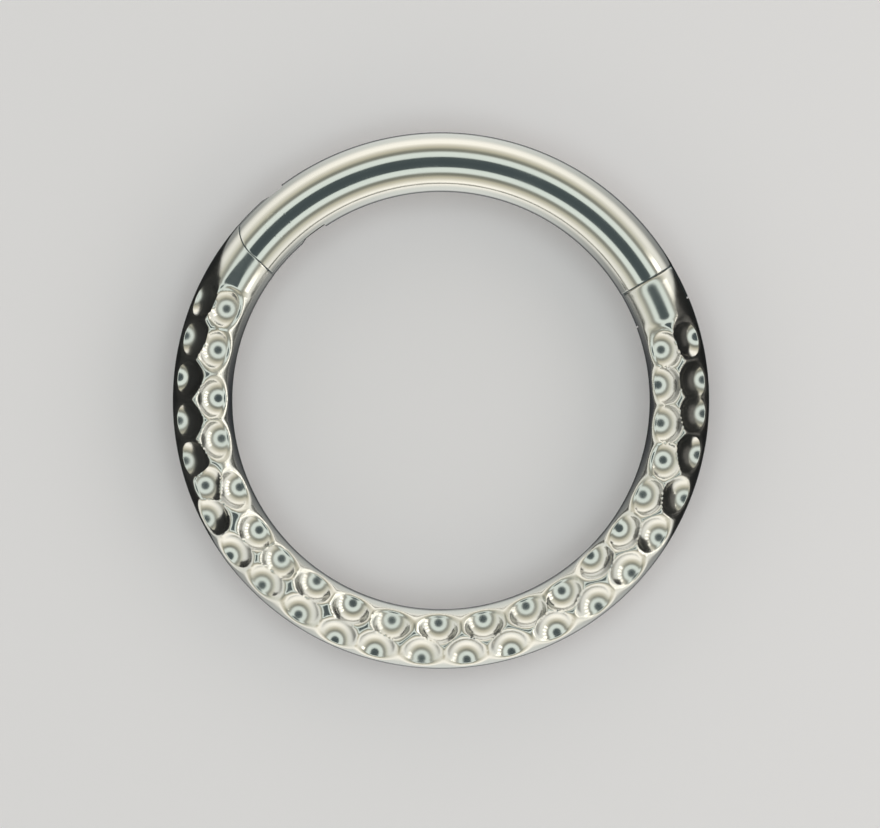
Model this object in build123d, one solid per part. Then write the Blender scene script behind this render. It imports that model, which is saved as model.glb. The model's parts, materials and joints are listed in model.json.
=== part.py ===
from build123d import *
import os
from math import cos, degrees, radians, sin

# A hinged segment ring for a piercing: titanium wire bent to a full ring, whose smooth upper part
# swings outward on a pin and whose lower part is dimpled all along with a ball cutter.
# The ring lies flat. +Z is the ring's axis and points up, the lowest point is at z = 0 and the ring's
# centre is on the Z axis. The smooth segment is centred on +Y, with the hinge on the -X side and the
# clasp on the +X side. Lengths are in millimetres and angles in degrees, counted from +X towards +Y.

# Driving sizes of the ring
wire_diameter = 1.0
inner_diameter = 7.0
segment_span = 111.9

# Hinge: the body ends in a tongue, held by a pin between the two ears of the segment
pin_diameter = 0.40
ear_margin = 0.154
hinge_tongue_thickness = 0.36

# Clasp: the segment ends in a tongue that drops into a fork of the body
clasp_tongue_thickness = 0.36
clasp_tongue_length = 0.58

# Clearances
seam_gap = 0.02
tongue_side_clearance = 0.02
tongue_end_clearance = 0.03
pin_running_clearance = 0.02
pin_press_clearance = 0.005

# Dimples: a ball cutter sunk into the wire, and the plain stretches left beside the hinge and the clasp,
# measured along the wire's centre line from the seam to the middle of the nearest dimple
ball_diameter = 0.80
dimple_depth = 0.187
hinge_plain_length = 1.03
clasp_plain_length = 1.14

# The two rows of dimples on the front face, charted by eye. "along" is the dimple's place as a share of
# the dimpled stretch, from the hinge end at 0 to the clasp end at 1. "lean" is the angle at the wire's
# centre, in its round section, from straight outward towards the face.
#    (along, lean)
inner_row = (
    (0.000, 99), (0.048, 105), (0.104, 113), (0.152, 113), (0.214, 118), (0.270, 112), (0.313, 110),
    (0.362, 118), (0.413, 115), (0.463, 109), (0.518, 113), (0.571, 113), (0.624, 113), (0.670, 109),
    (0.723, 124), (0.771, 118), (0.820, 113), (0.866, 103), (0.908, 116), (0.954, 121), (0.995, 109),
)
outer_row = (
    (0.000, 46), (0.041, 56), (0.083, 57), (0.127, 57), (0.168, 57), (0.198, 75), (0.230, 56),
    (0.274, 57), (0.318, 65), (0.366, 65), (0.411, 57), (0.453, 60), (0.501, 63), (0.547, 60),
    (0.593, 59), (0.643, 62), (0.693, 62), (0.741, 65), (0.787, 65), (0.834, 57), (0.880, 57),
    (0.922, 57), (0.956, 57), (1.000, 57),
)

# Worked out from the driving sizes
wire_radius = wire_diameter / 2
ring_radius = inner_diameter / 2 + wire_radius
pin_radius = pin_diameter / 2
ball_radius = ball_diameter / 2
ear_radius = wire_radius + ear_margin
tongue_end_radius = wire_radius
cutter_reach = 4 * wire_diameter


def arc_angle(length):
    """The angle that a length of wire takes up, measured along its centre line."""
    return degrees(length / ring_radius)


hinge_seam_angle = 90 + segment_span / 2
clasp_seam_angle = 90 - segment_span / 2
pin_angle = hinge_seam_angle - arc_angle(ear_radius)
dimples_start_angle = hinge_seam_angle + arc_angle(hinge_plain_length)
dimples_end_angle = 360 + clasp_seam_angle - arc_angle(clasp_plain_length)


def ring_point(angle):
    """The point of the wire's centre line at an angle round the ring."""
    return Vector(ring_radius * cos(radians(angle)), ring_radius * sin(radians(angle)), wire_radius)


def wire_arc(start_angle, end_angle, edge_lean):
    """Round wire along the ring between two angles. Its lengthwise edge lies where it meets fewest cuts."""
    section = Plane.XZ * Pos(ring_radius, wire_radius) * Rot(0, 0, edge_lean) * Circle(wire_radius)
    return Rot(0, 0, start_angle) * revolve(section, Axis.Z, end_angle - start_angle)


# The pin's middle, with x pointing along the wire to the middle of the hinge seam and y into the ring
hinge_plane = Plane(
    origin=ring_point(pin_angle),
    x_dir=ring_point(hinge_seam_angle) - ring_point(pin_angle),
    z_dir=(0, 0, 1),
)

# The middle of the clasp seam, with x pointing along the wire into the body and y out of the ring
clasp_plane = Plane(
    origin=ring_point(clasp_seam_angle),
    x_dir=ring_point(clasp_seam_angle - 90) - Vector(0, 0, wire_radius),
    z_dir=(0, 0, 1),
)


def across_wire(x_start, x_end):
    """Cutter outline from one place along the wire to another, wider than the wire."""
    return Pos((x_start + x_end) / 2, 0) * Rectangle(x_end - x_start, cutter_reach)


def ear_outline(clearance):
    """The segment's side of the hinge seam: straight on the ring's inside, round the pin on its outside."""
    reach = ear_radius + clearance
    inside = Pos(0, cutter_reach / 4) * Rectangle(2 * reach, cutter_reach / 2)
    return across_wire(-cutter_reach, 0) + inside + Circle(reach)


def through(plane, outline):
    """An outline cut right through the wire, from face to face."""
    return extrude(plane * outline, amount=wire_diameter, both=True)


def middle(plane, outline, thickness):
    """An outline cut through the middle of the wire only, as thick as a tongue or its slot."""
    return extrude(plane * outline, amount=thickness / 2, both=True)


def cheeks(plane, outline, thickness):
    """An outline cut through both faces of the wire, leaving a tongue of that thickness between them."""
    return through(plane, outline) - middle(plane, outline, thickness)


def pin_hole(clearance):
    """The pin's hole, through everything at the hinge."""
    return through(hinge_plane, Circle(pin_radius + clearance))


def dimple_ball(along, lean):
    """The ball cutter at one dimple, with its poles along the wire, clear of the cut that it makes."""
    away = Vector(cos(radians(lean)), 0, sin(radians(lean)))
    middle_of_ball = Vector(ring_radius, 0, wire_radius) + away * (wire_radius - dimple_depth + ball_radius)
    angle = dimples_start_angle + along * (dimples_end_angle - dimples_start_angle)
    ball_plane = Plane(origin=middle_of_ball, x_dir=away, z_dir=(0, 1, 0))
    return Rot(0, 0, angle) * ball_plane.location * Sphere(ball_radius)


def dimple_balls():
    """Both rows on the front face, and the same rows on the back."""
    front = [dimple_ball(along, lean) for along, lean in inner_row + outer_row]
    back = [dimple_ball(along, -lean) for along, lean in inner_row + outer_row]
    return front + back


def make_ring_body():
    """The dimpled lower part: a tongue at the hinge end, a fork at the clasp end."""
    blank_start_angle = pin_angle - arc_angle(2 * tongue_end_radius)
    blank_end_angle = 360 + clasp_seam_angle - arc_angle(seam_gap / 2)
    body = wire_arc(blank_start_angle, blank_end_angle, edge_lean=180)
    tongue_end = across_wire(-cutter_reach, 0) - Circle(tongue_end_radius)
    fork_slot = across_wire(-wire_diameter, clasp_tongue_length + tongue_end_clearance)
    body -= cheeks(hinge_plane, ear_outline(seam_gap), hinge_tongue_thickness)
    body -= through(hinge_plane, tongue_end)
    body -= middle(clasp_plane, fork_slot, clasp_tongue_thickness + 2 * tongue_side_clearance)
    body -= pin_hole(pin_running_clearance)
    body -= dimple_balls()
    return body


def make_hinged_segment():
    """The smooth upper part: two ears round the pin at the hinge end, a tongue at the clasp end."""
    blank_start_angle = clasp_seam_angle - arc_angle(clasp_tongue_length + wire_radius)
    blank_end_angle = hinge_seam_angle + arc_angle(wire_radius)
    segment = wire_arc(blank_start_angle, blank_end_angle, edge_lean=90)
    past_ears = across_wire(-wire_diameter, cutter_reach) - ear_outline(0)
    ear_slot = across_wire(-tongue_end_radius - tongue_end_clearance, cutter_reach)
    segment -= through(hinge_plane, past_ears)
    segment -= middle(hinge_plane, ear_slot, hinge_tongue_thickness + 2 * tongue_side_clearance)
    segment -= through(clasp_plane, across_wire(clasp_tongue_length, cutter_reach))
    segment -= cheeks(clasp_plane, across_wire(-seam_gap / 2, cutter_reach), clasp_tongue_thickness)
    segment -= pin_hole(pin_press_clearance)
    return segment


def make_hinge_pin():
    """The pin, pressed into the ears and polished flush with the wire on both faces."""
    around_pin = (pin_angle - arc_angle(wire_radius), pin_angle + arc_angle(wire_radius))
    return pin_hole(0) & wire_arc(*around_pin, edge_lean=180)


nodes = {
    "ring_body": make_ring_body(),
    "hinged_segment": make_hinged_segment(),
    "hinge_pin": make_hinge_pin(),
}

os.makedirs("parts", exist_ok=True)
for name, solid in nodes.items():
    export_step(solid, f"parts/{name}.step")
    print(f"{name}: {solid.volume:.4f} mm3")
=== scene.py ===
import json
from math import atan2, cos, degrees, pi, radians, sin

import bmesh
import bpy
import numpy as np
from mathutils import Matrix, Vector


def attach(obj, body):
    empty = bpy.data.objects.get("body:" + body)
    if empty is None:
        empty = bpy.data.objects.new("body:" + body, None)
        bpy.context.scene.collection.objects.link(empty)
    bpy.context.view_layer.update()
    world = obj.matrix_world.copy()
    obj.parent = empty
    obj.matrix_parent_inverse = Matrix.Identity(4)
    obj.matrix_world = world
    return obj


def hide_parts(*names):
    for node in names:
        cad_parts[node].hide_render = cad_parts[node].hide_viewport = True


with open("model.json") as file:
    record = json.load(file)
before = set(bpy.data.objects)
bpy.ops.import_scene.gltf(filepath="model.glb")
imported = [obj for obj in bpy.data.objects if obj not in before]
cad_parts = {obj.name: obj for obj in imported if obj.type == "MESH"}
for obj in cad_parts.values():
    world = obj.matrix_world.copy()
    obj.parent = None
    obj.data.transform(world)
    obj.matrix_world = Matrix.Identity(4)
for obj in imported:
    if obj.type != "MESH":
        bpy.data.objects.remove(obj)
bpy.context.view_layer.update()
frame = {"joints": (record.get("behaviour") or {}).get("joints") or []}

# A hinged segment ring of polished titanium wire, lying on its side. The ring's axis is the Z axis.
# Lengths are in millimetres until a piece is finished, and angles in degrees, counted from +X towards +Y.
# "along" runs round the ring and "lean" round the wire's section, from straight outward towards the face.
MM = 0.001

# Sizes that the frame gives: the hinge pin stands on the wire's centre line
pin_place = Vector(frame["joints"][0]["pos_m"]) / MM
wire_radius = pin_place.z
ring_radius = pin_place.xy.length
pin_angle = degrees(atan2(pin_place.y, pin_place.x))

# Hinge and clasp, as in the solids
pin_radius = 0.20
ear_radius = 0.654
tongue_thickness = 0.36
clasp_tongue_length = 0.58
seam_gap = 0.02
tongue_side_clearance = 0.02
tongue_end_clearance = 0.03
pin_running_clearance = 0.02
pin_press_clearance = 0.005

# Dimples, as in the solids: a ball cutter, and the plain stretches beside the hinge and the clasp
ball_radius = 0.40
dimple_depth = 0.187
hinge_plain_length = 1.03
clasp_plain_length = 1.14

# The two rows of dimples on the front face, as charted: their place as a share of the dimpled stretch,
# from the hinge end at 0 to the clasp end at 1, and their lean in degrees
#    (along, lean)
inner_row = (
    (0.000, 99), (0.048, 105), (0.104, 113), (0.152, 113), (0.214, 118), (0.270, 112), (0.313, 110),
    (0.362, 118), (0.413, 115), (0.463, 109), (0.518, 113), (0.571, 113), (0.624, 113), (0.670, 109),
    (0.723, 124), (0.771, 118), (0.820, 113), (0.866, 103), (0.908, 116), (0.954, 121), (0.995, 109),
)
outer_row = (
    (0.000, 46), (0.041, 56), (0.083, 57), (0.127, 57), (0.168, 57), (0.198, 75), (0.230, 56),
    (0.274, 57), (0.318, 65), (0.366, 65), (0.411, 57), (0.453, 60), (0.501, 63), (0.547, 60),
    (0.593, 59), (0.643, 62), (0.693, 62), (0.741, 65), (0.787, 65), (0.834, 57), (0.880, 57),
    (0.922, 57), (0.956, 57), (1.000, 57),
)

# What tumbling and polishing leave: the softness of the ridges between dimples, and the rounding of the
# dimples' rims and of the edges at the seams. The body's edge at the clasp is rounder than the others. A
# rounding follows a quarter circle up to rounding_share of its width.
ridge_softness = 0.004
rim_rounding = 0.064
seam_edge_rounding = 0.008
clasp_edge_rounding = 0.040
rounding_share = 0.8

# Polishing also smears the pin's ends over this share of its clearance in the ears
pin_smear = 0.9

# The body's face also falls away gently before the clasp seam, like the end of a barrel
crown_length = 0.16
crown_radius = 0.52

# The plain stretches roll off before the rim of the first dimple, and the roll fades out past that rim
hinge_roll_length = 0.10
clasp_roll_length = 0.14
roll_radius = 0.37
roll_fade = 0.35

# The fall and the rolls are on the faces of the wire only. They set in at this height above or below the
# wire's middle and are whole after this climb, as shares of the wire's radius.
face_start = 0.55
face_climb = 0.30

# A flat that polishing left beside the hinge, deeper away from the seam and tipped outward. Its least
# cosine only keeps the division sound where the wire faces away from it.
flat_depth_at_seam = -0.002
flat_depth_at_dimples = 0.014
flat_lean = 88
flat_least_cosine = 0.5

# Pressing the dimples into the wire: how many times ridge_softness past its surface a ball still acts, how
# often the wire's surface is set right, and the least slope that a step is worked out with
ball_reach = 8
press_rounds = 8
least_slope = 0.1

# How finely the wire is divided, in millimetres along its centre line and in degrees round its section.
# It is spun along in long steps first, and each is then divided into steps_in_one.
fine_step = 0.0245
seam_step = 0.011
front_lean_step = 2.0
back_lean_step = 3.0
smooth_lean_step = 4.6
coarse_lean_step = 9.0
steps_in_one = 4

# Round cutters have this many sides, cutters that meet overlap by this much, and edges are sharp from this
# angle between their faces
disc_sides = 192
cutter_overlap = 0.1
sharp_angle = 40

# Where the division along the wire changes, in degrees past the pin, a seam, or the first or last dimple,
# and the length that a blank has to spare before it is cut
body_past_pin = 5.5
body_past_seam = 1.0
segment_past_pin = 5.0
seam_zone = 1.2
dimple_margin = 6.0
spare_length = 0.2

# The part of the section that dimples reach, from the wire's outer edge towards the face
dimple_reach = 34
dimpled_lean_start = min(lean for along, lean in outer_row) - dimple_reach
dimpled_lean_end = max(lean for along, lean in inner_row) + dimple_reach

# Camera, read off the photograph: 880 pixels across, the ring's middle at this pixel
photo_width = 880
photo_height = 828
pixels_per_mm = 59.6
ring_middle_pixel = (441.0, 400.5)
picture_turn = 3.75
camera_distance = 100.0
nearest_seen = 10
farthest_seen = 2000
sensor_width = 36.0


def arc_angle(length):
    """The angle that a length of wire takes up along its centre line."""
    return degrees(length / ring_radius)


hinge_seam_angle = pin_angle + arc_angle(ear_radius)
clasp_seam_angle = 180 - hinge_seam_angle
dimples_start_angle = hinge_seam_angle + arc_angle(hinge_plain_length)
dimples_end_angle = 360 + clasp_seam_angle - arc_angle(clasp_plain_length)

# How far a dimple reaches along the wire: a roll ends at the rim of the nearest one
dimple_rim = (ball_radius ** 2 - (ball_radius - dimple_depth) ** 2) ** 0.5


def ring_place(angle):
    """The point of the wire's centre line at an angle round the ring."""
    return Vector((ring_radius * cos(radians(angle)), ring_radius * sin(radians(angle)), wire_radius))


def cutting_frame(origin, x_direction):
    """Axes for the cuts at a seam: x along the wire, z up."""
    x_axis = x_direction.normalized()
    z_axis = Vector((0, 0, 1))
    axes = Matrix((x_axis, z_axis.cross(x_axis), z_axis)).transposed().to_4x4()
    axes.translation = origin
    return axes


# At the hinge, x points along the wire to the seam and y into the ring. At the clasp, x points into the
# dimpled body and y out of the ring.
hinge_frame = cutting_frame(ring_place(pin_angle), ring_place(hinge_seam_angle) - ring_place(pin_angle))
clasp_frame = cutting_frame(
    ring_place(clasp_seam_angle),
    ring_place(clasp_seam_angle - 90) - Vector((0, 0, wire_radius)),
)


# Wire and dimples

def spin_on(bm, loop, centre, axis, angle, step):
    """Spins the loop on by an angle, in steps of about that size, and returns the loop at the far end."""
    steps = max(1, round(angle / step))
    spun = bmesh.ops.spin(
        bm, geom=loop, cent=centre, axis=axis, dvec=(0, 0, 0), angle=radians(angle), steps=steps
    )
    return spun["geom_last"]


def wire_section(bm, front_step, back_step):
    """The wire's round section, spun from one point: fine where dimples lie, coarse on the smooth edges."""
    middle = (ring_radius, 0, wire_radius)
    bands = (
        (2 * dimpled_lean_start, coarse_lean_step),
        (dimpled_lean_end - dimpled_lean_start, back_step),
        (2 * (180 - dimpled_lean_end), coarse_lean_step),
        (dimpled_lean_end - dimpled_lean_start, front_step),
    )
    start = Matrix.Rotation(radians(dimpled_lean_start), 3, "Y") @ Vector((wire_radius, 0, 0))
    loop = bmesh.ops.create_vert(bm, co=Vector(middle) + start)["vert"]
    for angle, step in bands:
        loop = spin_on(bm, loop, middle, (0, -1, 0), angle, step)
    bmesh.ops.remove_doubles(bm, verts=bm.verts[:], dist=wire_radius / 1000)


def wire_blank(start_angle, stretches, front_step, back_step):
    """Round wire along the ring from an angle, closed at both ends. A stretch is (end angle, step in mm).

    The section is spun in long steps, whose lengthwise edges are then divided.
    """
    bm = bmesh.new()
    wire_section(bm, front_step, back_step)
    turn = Matrix.Rotation(radians(start_angle), 3, "Z")
    bmesh.ops.rotate(bm, verts=bm.verts[:], cent=(0, 0, 0), matrix=turn)
    loop = bm.verts[:] + bm.edges[:]
    angle = start_angle
    for end_angle, step in stretches:
        loop = spin_on(bm, loop, (0, 0, 0), (0, 0, 1), end_angle - angle, arc_angle(steps_in_one * step))
        angle = end_angle
    lengthwise = [edge for edge in bm.edges if runs_along(edge)]
    bmesh.ops.subdivide_edges(bm, edges=lengthwise, cuts=steps_in_one - 1, use_grid_fill=True)
    bmesh.ops.holes_fill(bm, edges=bm.edges[:], sides=0)
    bmesh.ops.recalc_face_normals(bm, faces=bm.faces[:])
    return mesh_from(bm, "wire_blank")


def runs_along(edge):
    """Whether an edge joins two sections of the wire, so that its ends lie at different angles."""
    first, last = (vert.co for vert in edge.verts)
    across = abs(first.x * last.y - first.y * last.x)
    rounding_error = 1e-5 * ring_radius
    return across > rounding_error


def mesh_from(bm, name):
    """The finished bmesh as a mesh."""
    mesh = bpy.data.meshes.new(name)
    bm.to_mesh(mesh)
    bm.free()
    return mesh


def vertex_places(mesh):
    """The vertices' places as an array."""
    places = np.empty(len(mesh.vertices) * 3)
    mesh.vertices.foreach_get("co", places)
    return places.reshape(-1, 3)


def dimple_middles():
    """The middle of the ball cutter at every dimple, on the front face and the back."""
    middles = []
    reach = wire_radius - dimple_depth + ball_radius
    for along, lean in inner_row + outer_row:
        angle = radians(dimples_start_angle + along * (dimples_end_angle - dimples_start_angle))
        for side in (1, -1):
            from_axis = ring_radius + reach * cos(radians(lean))
            height = wire_radius + side * reach * sin(radians(lean))
            middles.append((from_axis * cos(angle), from_axis * sin(angle), height))
    return np.array(middles)


def edge_drop(distance, rounding):
    """How far a rounded edge lies below the wire's surface, at a distance from that edge."""
    inside = np.clip(1 - distance / rounding, 0, 1)
    return rounding * (1 - np.sqrt(1 - (rounding_share * inside) ** 2))


def rim_drop(places, balls):
    """How far the wire's surface falls away at each point towards the rounded rim of a dimple."""
    nearest = np.full(len(places), rim_rounding)
    for ball in balls:
        nearest = np.minimum(nearest, np.linalg.norm(places - ball, axis=1) - ball_radius)
    return edge_drop(np.maximum(nearest, 0), rim_rounding)


def seam_distances(places):
    """Distance of each point from the hinge seam and the clasp seam, positive on the body's side."""
    at_hinge = (places - np.array(hinge_frame.translation)) @ np.array(hinge_frame.to_3x3())
    at_clasp = (places - np.array(clasp_frame.translation)) @ np.array(clasp_frame.to_3x3())
    round_pin = np.hypot(at_hinge[:, 0], at_hinge[:, 1])
    beside_pin = (at_hinge[:, 0] > 0) & (at_hinge[:, 1] < 0)
    from_ears = np.where(beside_pin, round_pin, at_hinge[:, 0]) - ear_radius
    return from_ears, at_clasp[:, 0]


def body_radii(places):
    """The body's wire radius at each point.

    It is less at the rounded edges of the seams, where the face rolls off before a dimple or falls away
    before the clasp, and on the flat beside the hinge.
    """
    from_hinge, from_clasp = seam_distances(places)
    at_hinge_end = places[:, 0] < 0
    from_seam = np.where(at_hinge_end, from_hinge - seam_gap, from_clasp - seam_gap / 2)
    rounding = np.where(at_hinge_end, seam_edge_rounding, clasp_edge_rounding)
    angles = np.degrees(np.arctan2(places[:, 1], places[:, 0]))
    # Counted on past 360, as the dimpled stretch is
    angles += np.where(angles < pin_angle - 90, 360, 0)
    to_dimples = np.minimum(angles - dimples_start_angle, dimples_end_angle - angles)
    roll_length = np.where(at_hinge_end, hinge_roll_length, clasp_roll_length)
    past_rim = radians(1) * ring_radius * to_dimples + dimple_rim
    rolled = np.clip(past_rim + roll_length, 0, roll_length) ** 2 / (2 * roll_radius)
    rolled *= smooth_share(1 - past_rim / roll_fade)
    crown = np.where(at_hinge_end, 0, np.clip(crown_length - from_seam, 0, crown_length)) ** 2
    rolled += crown / (2 * crown_radius)
    lift = np.abs(places[:, 2] - wire_radius) / wire_radius
    rolled *= smooth_share((lift - face_start) / face_climb)
    radii = wire_radius - edge_drop(from_seam, rounding)
    return np.where(at_hinge_end, np.minimum(radii, flat_radii(places, from_seam)), radii) - rolled


def smooth_share(share):
    """A share from 0 to 1, eased at both ends."""
    share = np.clip(share, 0, 1)
    return share * share * (3 - 2 * share)


def flat_radii(places, from_seam):
    """The distance from the wire's middle to the flat beside the hinge, on either face."""
    share = np.clip(from_seam / (hinge_plain_length - ball_radius), 0, 1)
    depth = flat_depth_at_seam + share * (flat_depth_at_dimples - flat_depth_at_seam)
    radial = (np.hypot(places[:, 0], places[:, 1]) - ring_radius) / wire_radius
    lift = np.abs(places[:, 2] - wire_radius) / wire_radius
    facing = radial * cos(radians(flat_lean)) + lift * sin(radians(flat_lean))
    return (wire_radius - depth) / np.maximum(facing, flat_least_cosine)


def press_wire(mesh, wire_radii, balls):
    """Moves the wire's surface in to its radii, and then along the ring's axis into the balls.

    A point's depth below each surface is added up as a soft maximum, which leaves soft ridges where the
    surfaces meet, and the point is moved up or down until that maximum is zero.
    """
    places = vertex_places(mesh)
    outward = places * np.array((1, 1, 0))
    outward /= np.linalg.norm(outward, axis=1)[:, None]
    middles = outward * ring_radius + np.array((0, 0, wire_radius))
    away = places - middles
    away *= (wire_radii / np.linalg.norm(away, axis=1))[:, None]
    places = middles + away
    reach = ball_radius + ball_reach * ridge_softness
    near = [np.nonzero(np.linalg.norm(places - ball, axis=1) < reach)[0] for ball in balls]
    sideways = np.hypot(away[:, 0], away[:, 1])
    face = np.sign(away[:, 2])
    lift = np.abs(away[:, 2])
    for _ in range(press_rounds):
        from_middle = np.hypot(sideways, lift)
        total = np.exp((from_middle - wire_radii) / ridge_softness)
        slope = total * lift / from_middle
        for ball, some in zip(balls, near):
            from_ball = places[some] - ball
            distance = np.linalg.norm(from_ball, axis=1)
            share = np.exp((ball_radius - distance) / ridge_softness)
            total[some] += share
            slope[some] -= share * face[some] * from_ball[:, 2] / distance
        lift -= ridge_softness * np.log(total) * total / np.maximum(slope, least_slope * total)
        places[:, 2] = wire_radius + face * lift
    mesh.vertices.foreach_set("co", places.ravel())
    mesh.update()


# Cuts at the hinge and the clasp. A cutter's ranges are measured from the middle of a cutting frame:
# right through the wire, past other cutters, above and below a tongue, and as thick as its slot.
wide = 2.0
through = (-wide, wide)
past_cutters = (-2 * wide, 2 * wide)
upper_cheek = (tongue_thickness / 2, wide)
lower_cheek = (-wide, -tongue_thickness / 2)
slot_half = tongue_thickness / 2 + tongue_side_clearance
slot = (-slot_half, slot_half)


def piece_from(mesh, name):
    """A new object in the scene, at the origin."""
    piece = bpy.data.objects.new(name, mesh)
    bpy.context.scene.collection.objects.link(piece)
    return piece


def cutter_from(bm, place, name):
    """The finished cutter, set into its cutting frame."""
    bmesh.ops.transform(bm, verts=bm.verts[:], matrix=place)
    return piece_from(mesh_from(bm, name), name)


def box_cutter(place, x_range, y_range, z_range):
    """A block between two places on each axis of a cutting frame."""
    bm = bmesh.new()
    bmesh.ops.create_cube(bm, size=1)
    ranges = (x_range, y_range, z_range)
    bmesh.ops.scale(bm, verts=bm.verts[:], vec=[high - low for low, high in ranges])
    bmesh.ops.translate(bm, verts=bm.verts[:], vec=[(low + high) / 2 for low, high in ranges])
    return cutter_from(bm, place, "box_cutter")


def disc_cutter(place, radius, z_range):
    """A cylinder round the cutting frame's z axis."""
    bm = bmesh.new()
    low, high = z_range
    bmesh.ops.create_cone(
        bm, cap_ends=True, segments=disc_sides, radius1=radius, radius2=radius, depth=high - low
    )
    bmesh.ops.translate(bm, verts=bm.verts[:], vec=(0, 0, (low + high) / 2))
    return cutter_from(bm, place, "disc_cutter")


def cut(piece, *cutters, operation="DIFFERENCE"):
    """Cuts each cutter from the piece in turn, or keeps what they share, and clears the cutters away."""
    for cutter in cutters:
        boolean = piece.modifiers.new("cut", "BOOLEAN")
        boolean.operation = operation
        boolean.solver = "MANIFOLD"
        boolean.object = cutter
    graph = bpy.context.evaluated_depsgraph_get()
    result = bpy.data.meshes.new_from_object(piece.evaluated_get(graph))
    piece.modifiers.clear()
    piece.data = result
    for cutter in cutters:
        bpy.data.objects.remove(cutter)
    return piece


def make_ring_body():
    """The dimpled lower part, with a tongue at the hinge end and a fork at the clasp end."""
    clasp_end = 360 + clasp_seam_angle - arc_angle(seam_gap / 2)
    blank = wire_blank(
        pin_angle - arc_angle(wire_radius + spare_length),
        (
            (pin_angle + body_past_pin, 2 * fine_step),
            (hinge_seam_angle + body_past_seam, seam_step),
            (dimples_start_angle - dimple_margin, fine_step),
            (dimples_end_angle + dimple_margin, fine_step),
            (clasp_end - seam_zone, fine_step),
            (clasp_end, seam_step),
        ),
        front_lean_step,
        back_lean_step,
    )
    places = vertex_places(blank)
    balls = dimple_middles()
    press_wire(blank, body_radii(places) - rim_drop(places, balls), balls)
    body = piece_from(blank, "dimpled_ring_body")
    reach = ear_radius + seam_gap
    for cheek in (upper_cheek, lower_cheek):
        cut(
            body,
            box_cutter(hinge_frame, (-wide, 0), through, cheek),
            box_cutter(hinge_frame, (-cutter_overlap, reach), (0, wide), cheek),
            disc_cutter(hinge_frame, reach, cheek),
        )
    past_tongue = box_cutter(hinge_frame, (-wide, 0), through, through)
    cut(past_tongue, disc_cutter(hinge_frame, wire_radius, past_cutters))
    cut(
        body,
        past_tongue,
        disc_cutter(hinge_frame, pin_radius + pin_running_clearance, through),
        box_cutter(clasp_frame, (-wide, clasp_tongue_length + tongue_end_clearance), through, slot),
    )
    return body


def make_hinged_segment():
    """The smooth upper part, with two ears round the pin and a tongue at the clasp end."""
    blank = wire_blank(
        clasp_seam_angle - arc_angle(clasp_tongue_length + spare_length),
        (
            (clasp_seam_angle, fine_step),
            (clasp_seam_angle + seam_zone, seam_step),
            (pin_angle + segment_past_pin, 2 * fine_step),
            (hinge_seam_angle + seam_zone, seam_step),
        ),
        smooth_lean_step,
        smooth_lean_step,
    )
    places = vertex_places(blank)
    from_hinge, from_clasp = seam_distances(places)
    drop = np.where(
        places[:, 0] < 0,
        edge_drop(-from_hinge, seam_edge_rounding),
        edge_drop(-from_clasp - seam_gap / 2, seam_edge_rounding),
    )
    press_wire(blank, wire_radius - drop, [])
    segment = piece_from(blank, "smooth_hinged_segment")
    past_ears = box_cutter(hinge_frame, (0, wide), through, through)
    cut(
        past_ears,
        box_cutter(hinge_frame, (-cutter_overlap, ear_radius), (0, 2 * wide), past_cutters),
        disc_cutter(hinge_frame, ear_radius, past_cutters),
    )
    cut(
        segment,
        past_ears,
        box_cutter(hinge_frame, (-wire_radius - tongue_end_clearance, wide), through, slot),
        disc_cutter(hinge_frame, pin_radius + pin_press_clearance, through),
        box_cutter(clasp_frame, (clasp_tongue_length, wide), through, through),
        box_cutter(clasp_frame, (-seam_gap / 2, wide), through, upper_cheek),
        box_cutter(clasp_frame, (-seam_gap / 2, wide), through, lower_cheek),
    )
    return segment


def make_hinge_pin():
    """The pin, polished flush with the wire on both faces until its edge can't be seen."""
    start = pin_angle - arc_angle(wire_radius)
    end = pin_angle + arc_angle(wire_radius)
    blank = wire_blank(start, ((end, fine_step),), smooth_lean_step, smooth_lean_step)
    pin = piece_from(blank, "flush_hinge_pin")
    seen_radius = pin_radius + pin_smear * pin_press_clearance
    return cut(pin, disc_cutter(hinge_frame, seen_radius, through), operation="INTERSECT")


def finish_piece(piece, body, node, material):
    """Smooth shading with sharp cut edges, real size in metres, and the piece's place in the frame."""
    mesh = piece.data
    mesh.transform(Matrix.Scale(MM, 4))
    bm = bmesh.new()
    bm.from_mesh(mesh)
    for face in bm.faces:
        face.smooth = True
    for edge in bm.edges:
        edge.smooth = edge.calc_face_angle(0) < radians(sharp_angle)
    bm.to_mesh(mesh)
    bm.free()
    mesh.materials.clear()
    mesh.materials.append(material)
    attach(piece, body)
    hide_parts(node)


# Materials

def linear(hex_colour):
    """An sRGB hex colour as linear red, green, blue and alpha."""
    shares = [int(hex_colour[place:place + 2], 16) / 255 for place in (1, 3, 5)]
    return [s / 12.92 if s <= 0.04045 else ((s + 0.055) / 1.055) ** 2.4 for s in shares] + [1.0]


def add_node(tree, kind, inputs=None, **settings):
    """Adds a node with its settings. An input is a value, or another node's output to link to it."""
    node = tree.nodes.new(kind)
    for name, value in settings.items():
        setattr(node, name, value)
    for name, value in (inputs or {}).items():
        if isinstance(value, bpy.types.NodeSocket):
            tree.links.new(value, node.inputs[name])
        else:
            node.inputs[name].default_value = value
    return node


# The metal's colour, and its haze and waves: the size of their patches, the part of the noise that the haze
# uses, and how far it takes the roughness down and up
metal_colour = "#D1CFCA"
haze_size = 0.9
haze_range = (0.3, 0.7)
haze_spread = (0.7, 1.4)
wave_size = 0.22


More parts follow.
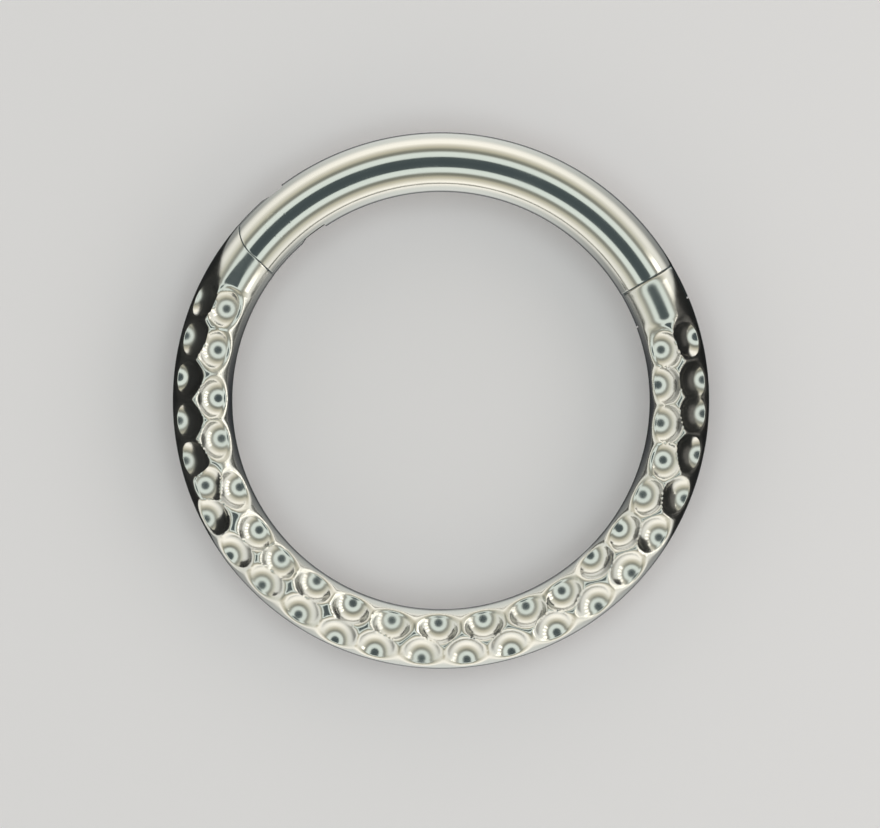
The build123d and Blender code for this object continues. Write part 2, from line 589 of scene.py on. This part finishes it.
def polished_titanium(name, roughness, wave_height):
    """Polished titanium: a mirror with a faint uneven haze and the slightest waves."""
    material = bpy.data.materials.new(name)
    material.use_nodes = True
    tree = material.node_tree
    shader = tree.nodes["Principled BSDF"]
    shader.inputs["Base Color"].default_value = linear(metal_colour)
    shader.inputs["Metallic"].default_value = 1.0
    place = add_node(tree, "ShaderNodeTexCoord").outputs["Object"]
    haze = add_node(
        tree, "ShaderNodeTexNoise", {"Vector": place, "Scale": 1 / (haze_size * MM), "Detail": 3.0}
    )
    rough = add_node(
        tree, "ShaderNodeMapRange",
        {
            "Value": haze.outputs["Fac"],
            "From Min": haze_range[0],
            "From Max": haze_range[1],
            "To Min": roughness * haze_spread[0],
            "To Max": roughness * haze_spread[1],
        },
    )
    tree.links.new(rough.outputs["Result"], shader.inputs["Roughness"])
    waves = add_node(
        tree, "ShaderNodeTexNoise", {"Vector": place, "Scale": 1 / (wave_size * MM), "Detail": 2.0}
    )
    bump = add_node(
        tree, "ShaderNodeBump",
        {"Strength": 1.0, "Distance": wave_height * MM, "Height": waves.outputs["Fac"]},
    )
    tree.links.new(bump.outputs["Normal"], shader.inputs["Normal"])
    return material


# Floor, light and camera

# How far the floor reaches from the ring's middle
floor_reach = 400


def picture_vector(right, up):
    """A direction in the ring's plane, from the photograph's right and up."""
    turn = radians(picture_turn)
    return Vector((right * cos(turn) - up * sin(turn), right * sin(turn) + up * cos(turn), 0))


def make_floor():
    """A plain pale sheet under the ring. It stays out of the metal's reflections, which the tent fills."""
    bm = bmesh.new()
    bmesh.ops.create_grid(bm, x_segments=1, y_segments=1, size=floor_reach * MM)
    floor = piece_from(mesh_from(bm, "floor"), "floor")
    floor.data.materials.append(matt_sheet("pale_paper", "#F0EAF1"))
    floor.visible_glossy = False


def matt_sheet(name, colour):
    """Matt paper or card of one colour."""
    material = bpy.data.materials.new(name)
    material.use_nodes = True
    shader = material.node_tree.nodes["Principled BSDF"]
    shader.inputs["Base Color"].default_value = linear(colour)
    shader.inputs["Roughness"].default_value = 0.9
    return material


# The light tent by the angle from straight up, and by the side: towards the top and bottom of the
# picture, and towards its left and right
#    (from_top, top_and_bottom, left_and_right)
tent_colours = (
    (0.0, "#424C4F", "#424C4F"), (18.5, "#485254", "#485254"), (22.0, "#D6E1DC", "#D6E1DC"),
    (37.0, "#DAE3DE", "#DAE3DE"), (44.0, "#7A7D74", "#888A82"), (51.0, "#7E7F75", "#8C8E86"),
    (55.0, "#A09F90", "#A8AA9E"), (60.5, "#BCB9A6", "#C4C6BA"), (67.5, "#CECBBE", "#D2D4CC"),
    (74.0, "#E6E3D6", "#DADCD6"), (80.0, "#FFFDF4", "#DADCD6"), (90.0, "#FFFDF4", "#D2D4D0"),
    (97.0, "#FAF9F2", "#BCBEBA"), (105.0, "#E6E6E0", "#8E908C"), (113.0, "#D6DAD6", "#404246"),
    (140.0, "#D0D4D2", "#303236"), (153.0, "#6A6C6E", "#2C2E30"), (180.0, "#45474A", "#2A2C2E"),
)
tent_strength = 1.5

# The tent leans a little towards the picture's bottom
tent_lean = 2.0


def make_tent_light():
    """A pale light tent: a dark hole for the lens, a bright ring round it, a dim band and a bright wall."""
    world = bpy.data.worlds.new("light_tent")
    bpy.context.scene.world = world
    world.use_nodes = True
    tree = world.node_tree
    seen = add_node(tree, "ShaderNodeTexCoord").outputs["Generated"]
    turned = add_node(
        tree, "ShaderNodeMapping",
        {"Vector": seen, "Rotation": (-radians(tent_lean), 0, -radians(picture_turn))},
    ).outputs["Vector"]
    axes = add_node(tree, "ShaderNodeSeparateXYZ", {"Vector": turned})
    from_top = add_node(tree, "ShaderNodeMath", {0: axes.outputs["Z"]}, operation="ARCCOSINE")
    share = add_node(
        tree, "ShaderNodeMath", {0: from_top.outputs["Value"], 1: radians(180)}, operation="DIVIDE"
    )
    sideways = add_node(
        tree, "ShaderNodeMath", {0: axes.outputs["Y"], 1: axes.outputs["X"]}, operation="ARCTAN2"
    )
    swing = add_node(tree, "ShaderNodeMath", {0: sideways.outputs["Value"]}, operation="SINE")
    to_top = add_node(tree, "ShaderNodeMath", {0: swing.outputs["Value"], 1: 2.0}, operation="POWER")
    walls = []
    left_and_right = 2
    top_and_bottom = 1
    for column in (left_and_right, top_and_bottom):
        ramp = add_node(tree, "ShaderNodeValToRGB", {"Fac": share.outputs["Value"]})
        elements = ramp.color_ramp.elements
        while len(elements) < len(tent_colours):
            elements.new(1.0)
        for element, row in zip(elements, tent_colours):
            element.position = row[0] / 180
            element.color = linear(row[column])
        walls.append(ramp.outputs["Color"])
    mixed = add_node(
        tree, "ShaderNodeMixRGB", {"Fac": to_top.outputs["Value"], "Color1": walls[0], "Color2": walls[1]}
    )
    background = tree.nodes["Background"]
    tree.links.new(mixed.outputs["Color"], background.inputs["Color"])
    background.inputs["Strength"].default_value = tent_strength


# A bank of small bar lights at the picture's right, which every dimple mirrors as a short column. Their
# brightness is measured as the tent's strength is.
bar_count = 5
bar_from_top = 62
bar_spacing = 15
bar_distance = 60.0
bar_length = 20.0
bar_width = 7.5
bar_brightness = 1.8
bar_colour = "#FFFAF2"


def make_bar_lights():
    """Bars that stand side by side round the ring, each facing it."""
    for number in range(bar_count):
        swing = radians(picture_turn + (number - (bar_count - 1) / 2) * bar_spacing)
        tilt = radians(bar_from_top)
        direction = Vector((sin(tilt) * cos(swing), sin(tilt) * sin(swing), cos(tilt)))
        data = bpy.data.lights.new(f"bar_light_{number}", "AREA")
        data.shape = "RECTANGLE"
        data.size = bar_width * MM
        data.size_y = bar_length * MM
        data.energy = bar_brightness * pi * data.size * data.size_y
        data.color = linear(bar_colour)[:3]
        bar = bpy.data.objects.new(data.name, data)
        bpy.context.scene.collection.objects.link(bar)
        bar.location = direction * bar_distance * MM
        bar.rotation_mode = "QUATERNION"
        bar.rotation_quaternion = direction.to_track_quat("Z", "Y")


# Low dark cards that stand close beside the ring at left and right, from below the floor upwards. They
# are seen only in the ring's reflections.
card_radius = 5.4
card_foot = -1.5
card_taper = 14.0
card_steps = 48
#    (name, start angle, span, height), angles in the picture
dark_cards = (("left_card", 138, 77, 1.90), ("right_card", -36, 72, 1.90))


def make_dark_cards():
    """Each card is an upright edge, spun round the ring, and slopes down to its foot at both ends."""
    black = matt_sheet("black_card", "#1C1E22")
    for name, start, span, height in dark_cards:
        bm = bmesh.new()
        place = picture_vector(cos(radians(start)), sin(radians(start))) * card_radius
        corners = [
            bmesh.ops.create_vert(bm, co=(place + Vector((0, 0, level))) * MM)["vert"][0]
            for level in (card_foot, height)
        ]
        edge = bm.edges.new(corners)
        bmesh.ops.spin(
            bm, geom=corners + [edge], cent=(0, 0, 0), axis=(0, 0, 1), angle=radians(span),
            steps=card_steps,
        )
        for vert in bm.verts:
            from_start = degrees(vert.co.xy.angle_signed(place.xy)) % 360
            to_end = min(from_start, span - from_start)
            share = max(0.0, min(1.0, to_end / card_taper))
            vert.co.z = card_foot * MM + (vert.co.z - card_foot * MM) * share
        card = piece_from(mesh_from(bm, name), name)
        card.data.materials.append(black)
        card.visible_camera = False
        card.visible_diffuse = False
        card.visible_shadow = False


def make_camera():
    """Straight above the ring, with the ring's middle at its pixel of the photograph."""
    data = bpy.data.cameras.new("camera")
    data.sensor_width = sensor_width
    data.lens = sensor_width * camera_distance * pixels_per_mm / photo_width
    data.clip_start = nearest_seen * MM
    data.clip_end = farthest_seen * MM
    camera = bpy.data.objects.new("camera", data)
    bpy.context.scene.collection.objects.link(camera)
    right = (photo_width / 2 - ring_middle_pixel[0]) / pixels_per_mm
    up = (ring_middle_pixel[1] - photo_height / 2) / pixels_per_mm
    place = picture_vector(right, up) + Vector((0, 0, wire_radius + camera_distance))
    camera.location = place * MM
    camera.rotation_euler = (0, 0, radians(picture_turn))
    bpy.context.scene.camera = camera


bpy.context.scene.view_settings.view_transform = "Standard"
make_camera()
make_tent_light()
make_bar_lights()
make_dark_cards()
make_floor()

dimpled = polished_titanium("tumbled_titanium", roughness=0.18, wave_height=0.0004)
smooth = polished_titanium("buffed_titanium", roughness=0.10, wave_height=0.0003)

finish_piece(make_ring_body(), "body", "ring_body", dimpled)
finish_piece(make_hinged_segment(), "segment", "hinged_segment", smooth)
finish_piece(make_hinge_pin(), "segment", "hinge_pin", smooth)
